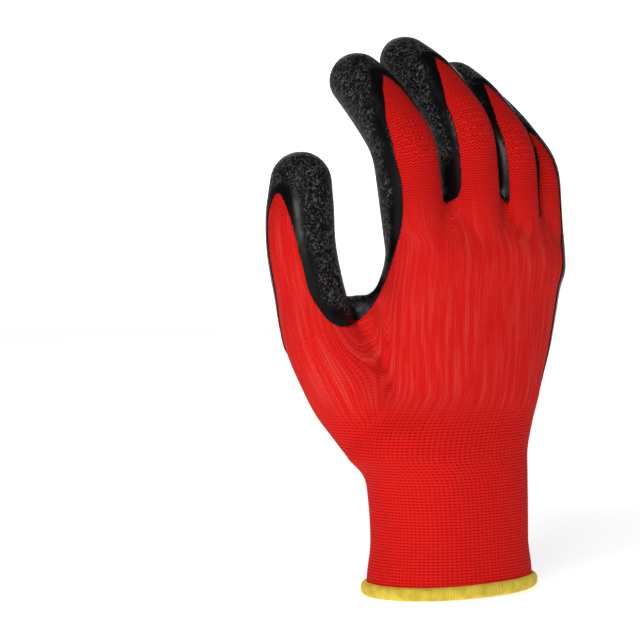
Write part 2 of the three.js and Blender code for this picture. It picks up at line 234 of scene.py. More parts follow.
def finger_line(finger):
    """The places along a finger's middle, with its three directions at each."""
    turn, splay = math.radians(finger["turn"]), math.radians(finger["splay"])
    curl = Vector((math.sin(turn), math.cos(turn), 0))
    across = Vector((math.cos(turn), -math.sin(turn), 0))
    upright = Vector((0, 0, math.cos(splay))) + across * math.sin(splay)
    side = across * math.cos(splay) - Vector((0, 0, math.sin(splay)))

    def lean_at(share):
        lean = finger["bends"][0][1]
        for (_, before), (at, after) in zip(finger["bends"], finger["bends"][1:]):
            lean += (after - before) * float(soft_step(at - BEND_SOFTNESS, at + BEND_SOFTNESS, share))
        return math.radians(lean)

    def along_at(share):
        lean = lean_at(share)
        return upright * math.cos(lean) + curl * math.sin(lean)

    places = [Vector(finger["start"])]
    for k in range(LINE_STEPS):
        places.append(places[k] + along_at((k + 0.5) / LINE_STEPS) * finger["length"] / LINE_STEPS)
    line = []
    for k, place in enumerate(places):
        share = k / LINE_STEPS
        lean = lean_at(share)
        line.append({"at": place, "along": along_at(share), "side": side,
                     "front": curl * math.cos(lean) - upright * math.sin(lean)})
    return line


for finger in FINGERS.values():
    finger["line"] = finger_line(finger)
    finger["last"] = finger["profile"][-1]["at"]
    finger["tip_reach"] = (1 - finger["last"]) * finger["length"]


def add_finger(bm, finger):
    """Adds a finger as a closed tube with a rounded tip."""
    line, last = finger["line"], finger["last"]

    def place(turn, share):
        at, shrink, ahead = share / TIP_STARTS * last, between_ends(share), 0.0
        if share > TIP_STARTS:
            rise = (share - TIP_STARTS) / (1 - TIP_STARTS) * math.pi / 2
            at, shrink, ahead = last, shrink * math.cos(rise), math.sin(rise) * finger["tip_reach"]
        step = at * LINE_STEPS
        k = min(int(step), LINE_STEPS - 1)
        here, then, t = line[k], line[k + 1], step - k
        half = smooth_table(finger["profile"], at, "wide") * finger["width"] / 2 * shrink
        a, b = round_point(turn, FINGER_SQUARENESS)
        middle = here["at"].lerp(then["at"], t) + here["along"] * ahead
        return (middle + here["side"] * a * half + here["front"].lerp(then["front"], t) * b * half) * MM

    add_tube(bm, *FINGER_MESH, place)


def add_hand(bm):
    """Adds cuff and palm as one closed tube."""
    low, high = HAND[0]["at"], HAND[-1]["at"]

    def place(turn, share):
        z = low + (high - low) * past_end(share, 0.02)
        spread = between_ends(share)
        a, b = round_point(turn, PALM_SQUARENESS)
        x = smooth_table(HAND, z, "side") + a * smooth_table(HAND, z, "wide") / 2 * spread
        y = -smooth_table(HAND, z, "back") + b * smooth_table(HAND, z, "deep") / 2 * spread
        up = max(0, (z - CUFF_TOP) / HAND_LENGTH)
        tilt = HEM_TILT * math.cos(turn) * (1 - float(soft_step(*TILT_FADES, z)))
        return Vector((x, y, z + tilt - WEB_ARCH * up ** 4 * a * a * spread)) * MM

    add_tube(bm, *HAND_MESH, place)


def add_thumb_web(bm):
    """Adds the web between thumb and palm as a closed tube."""
    low, high = THUMB_WEB[0]["at"], THUMB_WEB[-1]["at"]

    def place(turn, share):
        z = low + (high - low) * past_end(share, 0.03)
        spread = between_ends(share)
        c, s = math.cos(turn) * spread, math.sin(turn) * spread
        x = smooth_table(THUMB_WEB, z, "side") + c * smooth_table(THUMB_WEB, z, "wide") / 2
        y = (smooth_table(THUMB_WEB, z, "front") + s * smooth_table(THUMB_WEB, z, "deep") / 2
             - c * smooth_table(THUMB_WEB, z, "slant"))
        beside = max(0, c * smooth_table(THUMB_WEB, z, "wide") / WEB_RISE_WIDTH)
        rise = WEB_RISE * beside ** WEB_RISE_POWER * float(soft_step(*WEB_RISE_HEIGHTS, z))
        return Vector((x, y, z + rise)) * MM

    add_tube(bm, *WEB_MESH, place)


def hand_form():
    """The glove's whole outer form as one closed skin, soft where the tubes meet."""
    bm = bmesh.new()
    add_hand(bm)
    add_thumb_web(bm)
    for finger in FINGERS.values():
        add_finger(bm, finger)
    bmesh.ops.recalc_face_normals(bm, faces=bm.faces)
    form = new_piece("form", bm)
    melt = form.modifiers.new("melt", "REMESH")
    melt.mode = "VOXEL"
    melt.voxel_size = SKIN_STEP * MM
    melt.use_smooth_shade = True
    even = form.modifiers.new("even", "SMOOTH")
    even.factor = 0.5
    even.iterations = 10
    settle(form)
    return form


# Places on the form

def form_points(mesh):
    """A mesh's points as a numpy table, in millimetres."""
    points = np.empty(len(mesh.vertices) * 3)
    mesh.vertices.foreach_get("co", points)
    return points.reshape(-1, 3) / MM


def form_normals(mesh):
    """A mesh's smooth outward directions at its points, as a numpy table."""
    normals = np.empty(len(mesh.vertices) * 3, dtype=np.float32)
    mesh.vertex_normals.foreach_get("vector", normals)
    return normals.reshape(-1, 3)


def table_values(rows, places, column, key="at"):
    """smooth_table for many places, read from a fine ruler."""
    low, high = rows[0][key], rows[-1][key]
    ruler = np.linspace(low, high, 400)
    return np.interp(places, ruler, [smooth_table(rows, place, column, key) for place in ruler])


def finger_places(finger, points):
    """Where points lie along a finger: share of its length, turn from its back's middle, half its width there
    and height off its skin."""
    line = finger["line"]
    at, along, side, front = (np.array([here[k] for here in line]) for k in ("at", "along", "side", "front"))
    nearest = np.zeros(len(points), int)
    best = np.full(len(points), np.inf)
    for k in range(len(line)):
        away = ((points - at[k]) ** 2).sum(1)
        closer = away < best
        nearest[closer], best[closer] = k, away[closer]
    off = points - at[nearest]
    ahead = (off * along[nearest]).sum(1)
    share = nearest / LINE_STEPS + ahead / finger["length"]
    a, b = (off * side[nearest]).sum(1), (off * front[nearest]).sum(1)
    half = table_values(finger["profile"], np.clip(share, 0, finger["last"]), "wide") * finger["width"] / 2
    beyond = np.maximum(share - finger["last"], 0) * finger["length"] / finger["tip_reach"] * half
    height = np.sqrt(a * a + b * b + beyond * beyond) - half
    return {"share": share, "turn": np.arctan2(a, -b), "half": half, "height": height}


def hand_places(points):
    """Where points lie round cuff and palm: turn from the back's middle and height off the skin."""
    z = points[:, 2]
    x = points[:, 0] - table_values(HAND, z, "side")
    y = points[:, 1] + table_values(HAND, z, "back")
    wide, deep = table_values(HAND, z, "wide") / 2, table_values(HAND, z, "deep") / 2
    norm = np.abs(x / wide) ** PALM_SQUARENESS + np.abs(y / deep) ** PALM_SQUARENESS
    norm = norm ** (1 / PALM_SQUARENESS)
    up = np.maximum(0, (z - CUFF_TOP) / HAND_LENGTH)
    top = HAND[-1]["at"] - WEB_ARCH * up ** 4 * np.clip(x / wide, -1, 1) ** 2
    return {"turn": np.arctan2(x / wide, -y / deep), "height": np.maximum((norm - 1) * deep, z - top)}


# Where the latex is

# How far the knit's bare strip opens on a finger's back, towards the palm, from its pointed end down.
# below: share of the finger's length below the point; open: share of the finger's full opening.
BARE_STRIP = [
    {"below": 0, "open": 0},
    {"below": 0.08, "open": 0.39},
    {"below": 0.12, "open": 0.54},
    {"below": 0.17, "open": 0.72},
    {"below": 0.21, "open": 0.88},
    {"below": 0.26, "open": 0.97},
    {"below": 0.31, "open": 1},
    {"below": 0.44, "open": 1.02},
    {"below": 0.5, "open": 1.15},
    {"below": 0.55, "open": 1.4},
    {"below": 0.62, "open": 1.7},
]
# Where that strip ends, as a share of the finger's length, and its full opening to each side, in degrees.
STRIP_ENDS = {"index": (0.826, 64), "middle": (0.822, 59), "ring": (0.82, 47), "little": (0.72, 38)}

# The edge of the thumb's bare strip towards the palm, in degrees round the thumb from its back.
THUMB_STRIP = [
    {"at": 0.46, "palm": -62},
    {"at": 0.52, "palm": -56},
    {"at": 0.57, "palm": -48},
    {"at": 0.63, "palm": -42},
    {"at": 0.7, "palm": -40},
    {"at": 0.81, "palm": -41},
    {"at": 0.842, "palm": -40},
    {"at": 0.869, "palm": -37},
    {"at": 0.888, "palm": -32},
    {"at": 0.93, "palm": -5},
]

# The lower edge on the palm, as seen from the palm: reach from the palm's middle, at HEEL_MIDDLE, by the
# turn in degrees from straight down towards the little finger.
HEEL_MIDDLE = (0, 95)
HEEL = [
    {"at": -112, "reach": 110},
    {"at": -84.8, "reach": 53.6},
    {"at": -59.5, "reach": 49.1},
    {"at": -37.5, "reach": 49.9},
    {"at": -26.1, "reach": 48.1},
    {"at": -12.2, "reach": 47.8},
    {"at": 6.7, "reach": 51.4},
    {"at": 19, "reach": 56.5},
    {"at": 25.3, "reach": 58},
    {"at": 32.5, "reach": 57.6},
    {"at": 40.1, "reach": 53.6},
    {"at": 49.2, "reach": 49.8},
    {"at": 56.9, "reach": 47.3},
    {"at": 67.3, "reach": 49.8},
    {"at": 112, "reach": 110},
]

# Edges of the coating up the hand, by height in millimetres. palm: the edge round the ball of the thumb, as
# its place along BALL_FACING, which points to the palm and the little finger's side. little: the edge on the
# little finger's side, as how far in front of the wrist's middle it is.
HAND_EDGES = [
    {"at": 40, "palm": -24, "little": 2},
    {"at": 62.8, "palm": -28, "little": -4},
    {"at": 68.5, "palm": -31, "little": -7.5},
    {"at": 76, "palm": -37, "little": -12},
    {"at": 83, "palm": -43, "little": -15.5},
    {"at": 90, "palm": -48.5, "little": -17.2},
    {"at": 103, "palm": -53, "little": -17.5},
    {"at": 125.6, "palm": -55, "little": -17.5},
    {"at": 145.5, "palm": -55, "little": -17.5},
    {"at": 150, "palm": -55, "little": -17},
    {"at": 160, "palm": -55, "little": -15},
]
BALL_FACING = (0.81, 0.59)
# From the little finger's side to the web that edge runs on, up to this far in front, in millimetres.
LITTLE_EDGE_SIDE, WEB_EDGE_SIDE, WEB_EDGE_FRONT = 54, -38, 4

# The widest that a bare strip opens, in degrees, and how fast its edge closes past its end, in degrees for
# the finger's length.
WIDEST_OPENING = 88
STRIP_CLOSES = 600
# The coating's edge on the thumb's far side, in degrees, and how far it moves on below these shares.
FAR_EDGE, FAR_EDGE_MOVES, FAR_EDGE_SHARES = 100, 60, (0.62, 0.5)
# Where each edge takes over from the hand's, as limits of soft steps. share is of the finger's length; height
# and hand are millimetres off the finger's and the hand's skin; the turns are degrees round the index finger.
THUMB_EDGE = {"share": (0.46, 0.52), "height": (2.5, 0.5)}
FINGER_EDGE = {"share": (0.2, 0.34), "height": (3, 0.5), "hand": (-4, -1)}
CROTCH_EDGE = {"share": (0.52, 0.4), "front": (10, -10), "far": (-110, -80)}

# The coating's edge from the thumb's bare strip through the crotch and up the index finger's side: points in
# millimetres, joined by a soft curve, in the plane that faces the back of the hand on the thumb's side.
CROTCH_FACING = (0.743, -0.669)
CROTCH = [
    {"across": -73, "up": 141},
    {"across": -72, "up": 153},
    {"across": -68.3, "up": 161},
    {"across": -64, "up": 152.5},
    {"across": -59.3, "up": 134.5},
    {"across": -56.3, "up": 122.8},
    {"across": -52.5, "up": 116},
    {"across": -48, "up": 110.8},
    {"across": -43, "up": 108.6},
    {"across": -37.5, "up": 110.3},
    {"across": -32, "up": 115.5},
    {"across": -27, "up": 124},
    {"across": -21.5, "up": 141},
    {"across": -19.4, "up": 154},
    {"across": -20.7, "up": 172},
    {"across": -22.3, "up": 178.4},
]


def soft_line(points, steps=6):
    """The points of a soft curve through rows of across and up, with some steps from each row to the next."""
    rows = [np.array([point["across"], point["up"]]) for point in points]
    line = [rows[0]]
    for n in range(len(rows) - 1):
        before, here, then, after = rows[max(n - 1, 0)], rows[n], rows[n + 1], rows[min(n + 2, len(rows) - 1)]
        for t in np.arange(1, steps + 1) / steps:
            bend = 2 * before - 5 * here + 4 * then - after
            turn = 3 * (here - then) + after - before
            line.append(here + ((then - before) * t + bend * t ** 2 + turn * t ** 3) / 2)
    return line


def beside_line(line, across, up):
    """How far to the left of a line each place is, in the direction the line runs."""
    best = np.full(len(across), np.inf)
    level = np.zeros(len(across))
    for n, ((a0, u0), (a1, u1)) in enumerate(zip(line, line[1:])):
        da, du = a1 - a0, u1 - u0
        t = ((across - a0) * da + (up - u0) * du) / (da * da + du * du)
        t = np.clip(t, -np.inf if n == 0 else 0, np.inf if n == len(line) - 2 else 1)
        off_a, off_u = across - a0 - t * da, up - u0 - t * du
        away = np.hypot(off_a, off_u)
        closer = away < best
        best[closer] = away[closer]
        level[closer] = (np.sign(da * off_u - du * off_a) * away)[closer]
    return level


def coat_level(points):
    """How far inside the coating's edge each point of the form lies, about in millimetres."""
    x, y, z = points.T
    # Palm and ball of the thumb
    turn = np.degrees(np.arctan2(x - HEEL_MIDDLE[0], HEEL_MIDDLE[1] - z))
    heel = table_values(HEEL, turn, "reach") - np.hypot(x - HEEL_MIDDLE[0], z - HEEL_MIDDLE[1])
    ball = x * BALL_FACING[0] + y * BALL_FACING[1] - table_values(HAND_EDGES, z, "palm")
    little = table_values(HAND_EDGES, z, "little")
    across = np.clip((LITTLE_EDGE_SIDE - x) / (LITTLE_EDGE_SIDE - WEB_EDGE_SIDE), 0, 1)
    palm = np.minimum(np.minimum(heel, ball), y - little - (WEB_EDGE_FRONT - little) * across)
    crotch_line = beside_line(soft_line(CROTCH), x * CROTCH_FACING[0] + y * CROTCH_FACING[1], z)
    level = np.maximum(palm, crotch_line)
    hand_height = hand_places(points)["height"]
    # Fingers
    for name, finger in FINGERS.items():
        spot = finger_places(finger, points)
        degrees = np.degrees(spot["turn"])
        if name == "thumb":
            in_palm = table_values(THUMB_STRIP, spot["share"], "palm") - degrees
            far_side = degrees - FAR_EDGE - FAR_EDGE_MOVES * soft_step(*FAR_EDGE_SHARES, spot["share"])
            edge = np.maximum(np.degrees(crotch_line / spot["half"]), np.maximum(in_palm, far_side))
            belongs = (soft_step(*THUMB_EDGE["share"], spot["share"])
                       * soft_step(*THUMB_EDGE["height"], spot["height"]))
        else:
            end, opening = STRIP_ENDS[name]
            opening = opening * table_values(BARE_STRIP, end - spot["share"], "open", key="below")
            edge = np.abs(degrees) - np.minimum(opening, WIDEST_OPENING)
            edge += np.maximum(0, spot["share"] - end) * STRIP_CLOSES
            if name == "index":
                beside_thumb = (soft_step(*CROTCH_EDGE["front"], degrees)
                                * soft_step(*CROTCH_EDGE["far"], degrees)
                                * soft_step(*CROTCH_EDGE["share"], spot["share"]))
                edge += (np.degrees(crotch_line / spot["half"]) - edge) * beside_thumb
            belongs = (soft_step(*FINGER_EDGE["share"], spot["share"])
                       * soft_step(*FINGER_EDGE["height"], spot["height"])
                       * soft_step(*FINGER_EDGE["hand"], hand_height))
        level = level * (1 - belongs) + np.radians(edge) * spot["half"] * belongs
    return level


# Knit, coating and hem from the form

# How far off the skin of hand and finger each one's count still holds, in millimetres, and how much more a
# finger's counts than the hand's.
HAND_HOLDS, FINGER_HOLDS, FINGER_WEIGHT = 4, 3, 40
# The shares of a finger's length where its count begins, and where it agrees with the hand's.
FINGER_COUNT_BEGINS, FINGER_LEAVES, THUMB_LEAVES = (0.2, 0.42), 0.3, 0.42
# Where the thumb's count takes over: share of its length and millimetres off the hand's and its own skin.
THUMB_COUNT = {"share": (0.28, 0.52), "hand": (0.5, 3), "height": (14, 9)}
# Heights between which the cuff's stitch ends, and the fingers' stitch begins.
CUFF_STITCH_ENDS, FINGER_STITCH_BEGINS = (67, 80), (140, 165)


def stitch_places(points):
    """Each point's place in the knit: wale counted round the glove and course counted up it."""
    hand = hand_places(points)
    wale = hand["turn"] / (2 * math.pi) * WALES_ROUND
    course = points[:, 2] / COURSE
    closeness = np.exp(-(np.maximum(hand["height"], 0) / HAND_HOLDS) ** 2) + 1e-9
    wales, courses, total = wale * closeness, course * closeness, closeness
    for name, finger in FINGERS.items():
        if name != "thumb":
            spot = finger_places(finger, points)
            near = FINGER_WEIGHT * np.exp(-(np.maximum(spot["height"], 0) / FINGER_HOLDS) ** 2)
            near *= soft_step(*FINGER_COUNT_BEGINS, spot["share"])
            finger_wale, finger_course = finger_stitches(finger, spot, FINGER_LEAVES)
            wales, courses, total = wales + finger_wale * near, courses + finger_course * near, total + near
    wales, courses = wales / total, courses / total
    # The thumb's knit leaves the hand's along a crease
    spot = finger_places(FINGERS["thumb"], points)
    thumb_wale, thumb_course = finger_stitches(FINGERS["thumb"], spot, THUMB_LEAVES)
    own = soft_step(*THUMB_COUNT["share"], spot["share"]) * soft_step(*THUMB_COUNT["hand"], hand["height"])
    own *= soft_step(*THUMB_COUNT["height"], spot["height"])
    return wales * (1 - own) + thumb_wale * own, courses * (1 - own) + thumb_course * own


def finger_stitches(finger, spot, leaves):
    """A finger's own count of wales and courses, which agrees with the hand's at its back where it leaves."""
    root = finger["line"][int(leaves * LINE_STEPS)]
    back = np.array([root["at"] - root["front"] * finger["width"] / 2])
    wale = float(hand_places(back)["turn"][0]) / (2 * math.pi) * WALES_ROUND
    wales = wale + spot["turn"] * finger["width"] / 2 / WALE
    return wales, (float(back[0][2]) + (spot["share"] - leaves) * finger["length"]) / COURSE


def store(mesh, name, values):
    """Keeps a value for each point of a mesh, for its material to read."""
    layer = mesh.attributes.new(name, "FLOAT", "POINT")
    layer.data.foreach_set("value", np.asarray(values, dtype=np.float32))


def store_stitches(mesh):
    """Keeps the knit's count as a UV map. A face over the line on the palm's side where the count starts
    again counts on past it."""
    wales, courses = stitch_places(form_points(mesh))
    layer = mesh.uv_layers.new(name="stitches")
    corners = np.empty(len(mesh.loops), dtype=np.int32)
    mesh.loops.foreach_get("vertex_index", corners)
    across, up = wales[corners], courses[corners]
    for face in mesh.polygons:
        own = slice(face.loop_start, face.loop_start + face.loop_total)
        if across[own].max() - across[own].min() > WALES_ROUND / 2:
            across[own] = np.where(across[own] < 0, across[own] + WALES_ROUND, across[own])
    layer.data.foreach_set("uv", np.column_stack([across, up]).astype(np.float32).ravel())


def ease(bm_verts, values, rounds):
    """Evens out a list of values over the points of a bmesh, from neighbour to neighbour."""
    for _ in range(rounds):
        values = [0.5 * values[v.index] + 0.5 * sum(values[e.other_vert(v).index] for e in v.link_edges)
                  / len(v.link_edges) for v in bm_verts]
    return values


def open_wrist(bm, height):
    """Cuts a bmesh open across the wrist."""
    everything = bm.verts[:] + bm.edges[:] + bm.faces[:]
    bmesh.ops.bisect_plane(bm, geom=everything, dist=1e-6, plane_co=(0, 0, height), plane_no=(0, 0, 1),
                           clear_inner=True)


def knitted_glove(form):
    """The knit, from the hem to the fingertips: one wall with its inner side."""
    bm = bmesh.new()
    bm.from_mesh(form.data)
    open_wrist(bm, (HEM_HEIGHT - 2) * MM)
    glove = new_piece("knitted_glove", bm)
    store_stitches(glove.data)
    points = form_points(glove.data)
    store(glove.data, "cuff", 1 - soft_step(*CUFF_STITCH_ENDS, points[:, 2]))
    store(glove.data, "finger", soft_step(*FINGER_STITCH_BEGINS, points[:, 2]))
    wall = glove.modifiers.new("wall", "SOLIDIFY")
    wall.thickness = KNIT_WALL * MM
    wall.offset = -1
    wall.use_rim = True
    settle(glove)
    return glove


def latex_coating(form):
    """The coating's skin: the part of the form that lies inside the coating's edge, cut along that edge."""
    finer_band, ease_rounds, rim_rounds, least_share = 2.2, 6, 4, 0.02
    bm = bmesh.new()
    bm.from_mesh(form.data)
    open_wrist(bm, COAT_LOWEST * MM)
    for finer in range(2):
        bm.verts.ensure_lookup_table()
        bm.verts.index_update()
        level = list(coat_level(np.array([v.co / MM for v in bm.verts])))
        level = ease(bm.verts, level, ease_rounds)
        if finer == 0:
            near = [e for e in bm.edges if all(abs(level[v.index]) < finer_band for v in e.verts)]
            bmesh.ops.subdivide_edges(bm, edges=near, cuts=1, use_grid_fill=True)
    layer = bm.verts.layers.float.new("level")
    for vert in bm.verts:
        vert[layer] = level[vert.index]
    crossing, shares = [], {}
    for edge in bm.edges:
        a, b = (v[layer] for v in edge.verts)
        if (a > 0) != (b > 0):
            crossing.append(edge)
            shares[edge] = min(max(a / (a - b), least_share), 1 - least_share)
    made = bmesh.ops.subdivide_edges(bm, edges=crossing, cuts=1, edge_percents=shares)
    for piece in made["geom_inner"]:
        if isinstance(piece, bmesh.types.BMVert):
            piece[layer] = 0.0
    outside = [f for f in bm.faces if sum(v[layer] for v in f.verts) <= 0]
    bmesh.ops.delete(bm, geom=outside, context="FACES")
    rim = [v for v in bm.verts if v.is_boundary]
    for _ in range(rim_rounds):
        bmesh.ops.smooth_vert(bm, verts=rim, factor=0.5, use_axis_x=True, use_axis_y=True, use_axis_z=True)
    return new_piece("latex_coating_skin", bm)


def finish_coating(coat):
    """Lifts the coating off the knit and gives it its wall, thin at the edge."""
    mesh = coat.data
    points = form_points(mesh)
    rim = boundary_edges(mesh)
    edge_points = {i for edge in mesh.edges if edge.index in rim for i in edge.vertices}
    tree = KDTree(len(edge_points))
    for i in edge_points:
        tree.insert(mesh.vertices[i].co, i)
    tree.balance()
    inside = np.array([tree.find(v.co)[2] for v in mesh.vertices]) / MM
    store(mesh, "inside", inside)
    thick = coat.vertex_groups.new(name="thick")
    thinnest = COAT_EDGE_WALL / COAT_WALL
    shares = thinnest + (1 - thinnest) * soft_step(0, COAT_EDGE_WIDTH, inside)
    for i, share in enumerate(shares):
        thick.add([i], float(share), "REPLACE")
    off_the_knit = form_points(mesh) + form_normals(mesh) * COAT_SEAT
    mesh.vertices.foreach_set("co", (off_the_knit * MM).ravel())
    mesh.update()
    wall = coat.modifiers.new("wall", "SOLIDIFY")
    wall.thickness = COAT_WALL * MM
    wall.offset = 1
    wall.vertex_group = "thick"
    wall.use_rim = True
    settle(coat)


def boundary_edges(mesh):
    """The edges of a mesh that only one face uses."""
    uses = np.zeros(len(mesh.edges), int)
    order = np.empty(len(mesh.loops), dtype=np.int32)
    mesh.loops.foreach_get("edge_index", order)
    np.add.at(uses, order, 1)
    return set(np.nonzero(uses == 1)[0].tolist())


def rolled_hem():
    """The hem: an overlocked roll, one ridge to a thread, laid slantwise round the cuff's edge."""
    threads, ridge_steps, ridge_height, ridge_roundness = 184, 6, 0.32, 0.7
    slant_in_threads = 0.35
    bm = bmesh.new()
    half_high, half_thick = HEM_HEIGHT / 2, HEM_THICKNESS / 2

    def place(turn, share):
        slant = slant_in_threads * math.cos(turn) / threads * 2 * math.pi
        around = share * 2 * math.pi + slant
        a, b = round_point(around, PALM_SQUARENESS)
        middle = Vector((a * (MOUTH_WIDTH - KNIT_WALL) / 2, b * (MOUTH_DEPTH - KNIT_WALL) / 2,
                         half_high + HEM_TILT + HEM_TILT * math.cos(around)))
        out = Vector((math.cos(around), math.sin(around), 0))
        ridge = ridge_height * (abs(math.cos(share * threads * math.pi)) ** ridge_roundness - 1)
        p, q = round_point(turn, HEM_SQUARENESS)
        return (middle + out * p * (half_thick + ridge) + Vector((0, 0, q * (half_high + ridge)))) * MM

    add_tube(bm, 20, threads * ridge_steps, place)
    bmesh.ops.recalc_face_normals(bm, faces=bm.faces)
    return new_piece("rolled_hem", bm)


form = hand_form()
glove = knitted_glove(form)
coat = latex_coating(form)
finish_coating(coat)
hem = rolled_hem()
bpy.data.objects.remove(form)

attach(glove, "root")
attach(coat, "root")
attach(hem, "root")
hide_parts("knit_liner", "knit_cuff")
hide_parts("latex_coating")
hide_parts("hem")


# Materials

def linear(hex_colour):
    """An opaque sRGB hex colour as the linear values that a shader takes."""
    parts = [int(hex_colour[i:i + 2], 16) / 255 for i in (1, 3, 5)]
    return [c / 12.92 if c <= 0.04045 else ((c + 0.055) / 1.055) ** 2.4 for c in parts] + [1.0]


def new_material(name):
    """A new material and its node tree, which is empty."""
    material = bpy.data.materials.new(name)
    material.use_nodes = True
    material.node_tree.nodes.clear()
    return material, material.node_tree


def add_node(tree, kind, links=None, **settings):
    """Adds a node. settings are its properties or, where it has none of that name, its inputs' values:
    From_Min sets the input From Min, and i6 sets input 6, where several inputs share a name. links joins an
    input, by its name or number, to another node's output."""
    node = tree.nodes.new(kind)
    inputs = {}
    for key, value in settings.items():
        if hasattr(node, key):
            setattr(node, key, value)
        else:
            inputs[key] = value
    for key, value in inputs.items():
        spot = int(key[1:]) if key[0] == "i" and key[1:].isdigit() else key.replace("_", " ")
        node.inputs[spot].default_value = value
    for key, source in (links or {}).items():
        tree.links.new(source, node.inputs[key])
    return node


def knit_material():
    """Polyester yarn in a plain machine knit: matt red, with a soft sheen at a low angle. Its courses show as
    zigzag lines on the fingers and its wales as upright lines on the back, in relief and in painted shade:
    the grooves between stitches are painted a darker red. The elastic cuff shows a grid of small gaps painted
    dark as shade. Lighter streaks on the back of the hand are a painted sheen. The UV map counts wales and
    courses, so every stitch has its real size."""
    material, tree = new_material("red_polyester_knit")
    counts = add_node(tree, "ShaderNodeUVMap", uv_map="stitches")
    split = add_node(tree, "ShaderNodeSeparateXYZ", {0: counts.outputs[0]})
    wale, course = split.outputs[0], split.outputs[1]
    cuff = add_node(tree, "ShaderNodeAttribute", attribute_name="cuff")
    finger = add_node(tree, "ShaderNodeAttribute", attribute_name="finger")

    # Zigzag courses: each second wale leans the other way
    lean = add_node(tree, "ShaderNodeMath", {0: wale}, operation="PINGPONG", i1=1.0)
    leaning = add_node(tree, "ShaderNodeMath", {0: lean.outputs[0], 2: course}, operation="MULTIPLY_ADD",
                       i1=0.6)
    row = add_node(tree, "ShaderNodeMath", {0: leaning.outputs[0]}, operation="PINGPONG", i1=0.5)
    row_height = add_node(tree, "ShaderNodeMapRange", {0: row.outputs[0]}, interpolation_type="SMOOTHSTEP",
                          From_Min=0.04, From_Max=0.34)
    column = add_node(tree, "ShaderNodeMath", {0: wale}, operation="PINGPONG", i1=0.5)
    column_height = add_node(tree, "ShaderNodeMapRange", {0: column.outputs[0]},
                             interpolation_type="SMOOTHSTEP", From_Min=0.0, From_Max=0.3)
    row_share = add_node(tree, "ShaderNodeMapRange", {0: finger.outputs["Fac"]}, To_Min=0.42, To_Max=0.86)
    sharp = add_node(tree, "ShaderNodeMix", {0: row_share.outputs[0], 2: column_height.outputs[0],
                                             3: row_height.outputs[0]})
    depth = add_node(tree, "ShaderNodeMapRange", {0: finger.outputs["Fac"]}, To_Min=0.6, To_Max=1.0)
    stitch = add_node(tree, "ShaderNodeMix", {0: depth.outputs[0], 3: sharp.outputs[0]}, i2=1.0)

    # The cuff's gaps: one to two wales across and 1.2 courses up
    rib = add_node(tree, "ShaderNodeMath", {0: wale}, operation="PINGPONG", i1=1.0)
    rib_height = add_node(tree, "ShaderNodeMapRange", {0: rib.outputs[0]}, interpolation_type="SMOOTHSTEP",
                          From_Min=0.2, From_Max=0.8)
    line = add_node(tree, "ShaderNodeMath", {0: course}, operation="PINGPONG", i1=0.6)
    line_height = add_node(tree, "ShaderNodeMapRange", {0: line.outputs[0]}, interpolation_type="SMOOTHSTEP",
                           From_Min=0.05, From_Max=0.36)
    gap = add_node(tree, "ShaderNodeMath", {0: rib_height.outputs[0], 1: line_height.outputs[0]},
                   operation="MAXIMUM")
    cuff_stitch = add_node(tree, "ShaderNodeMix", {2: gap.outputs[0], 3: line_height.outputs[0]}, i0=0.3)
    height = add_node(tree, "ShaderNodeMix", {0: cuff.outputs["Fac"], 2: stitch.outputs[0],
                                              3: cuff_stitch.outputs[0]})

    # Painted sheen: lighter streaks where stretched wales catch more light, a few wales wide and some 25 mm
    # long
    long_ways = add_node(tree, "ShaderNodeVectorMath", {0: counts.outputs[0]}, operation="MULTIPLY",
                         i1=(0.55, 0.04, 1))
    sheen_streak_noise = add_node(tree, "ShaderNodeTexNoise", {"Vector": long_ways.outputs[0]}, Scale=1.0, Detail=2.0)
    off_cuff = add_node(tree, "ShaderNodeMath", {1: cuff.outputs["Fac"]}, operation="SUBTRACT", i0=1.0)
    on_back = add_node(tree, "ShaderNodeMath", {0: off_cuff.outputs[0], 1: finger.outputs["Fac"]},
                       operation="SUBTRACT", use_clamp=True)
    painted_sheen_amount = add_node(tree, "ShaderNodeMapRange", {0: sheen_streak_noise.outputs[0]}, interpolation_type="SMOOTHSTEP",
                      From_Min=0.4, From_Max=0.75, To_Min=0.0, To_Max=0.4)
    painted_sheen_streak = add_node(tree, "ShaderNodeMath", {0: painted_sheen_amount.outputs[0], 1: on_back.outputs[0]},
                      operation="MULTIPLY")
    place = add_node(tree, "ShaderNodeTexCoord")
    patches = add_node(tree, "ShaderNodeTexNoise", {"Vector": place.outputs["Object"]}, Scale=34.0,
                       Detail=2.0)
    crest_with_painted_sheen = add_node(tree, "ShaderNodeMix", {0: painted_sheen_streak.outputs[0]}, data_type="RGBA",
                     i6=linear("#DC1C18"), i7=linear("#E8504A"))
    # Painted shade: the grooves between stitches and the cuff's gaps are painted a darker red (#960806) than
    # the crests
    colour = add_node(tree, "ShaderNodeMix", {0: height.outputs[0], 7: crest_with_painted_sheen.outputs[2]}, data_type="RGBA",
                      i6=linear("#960806"))
    bends = add_node(tree, "ShaderNodeBump", {"Height": patches.outputs[0]}, Strength=0.5, Distance=2.2 * MM)
    stitches = add_node(tree, "ShaderNodeBump", {"Height": height.outputs[0], "Normal": bends.outputs[0]},
                        Strength=0.7, Distance=0.35 * MM)
    shader = add_node(tree, "ShaderNodeBsdfPrincipled",
                      {"Base Color": colour.outputs[2], "Normal": stitches.outputs[0]}, Roughness=0.85,
                      Specular_IOR_Level=0.06, Sheen_Weight=0.04, Sheen_Roughness=0.45,
                      Sheen_Tint=linear("#FF9A90"))
    add_node(tree, "ShaderNodeOutputMaterial", {"Surface": shader.outputs[0]})
    return material


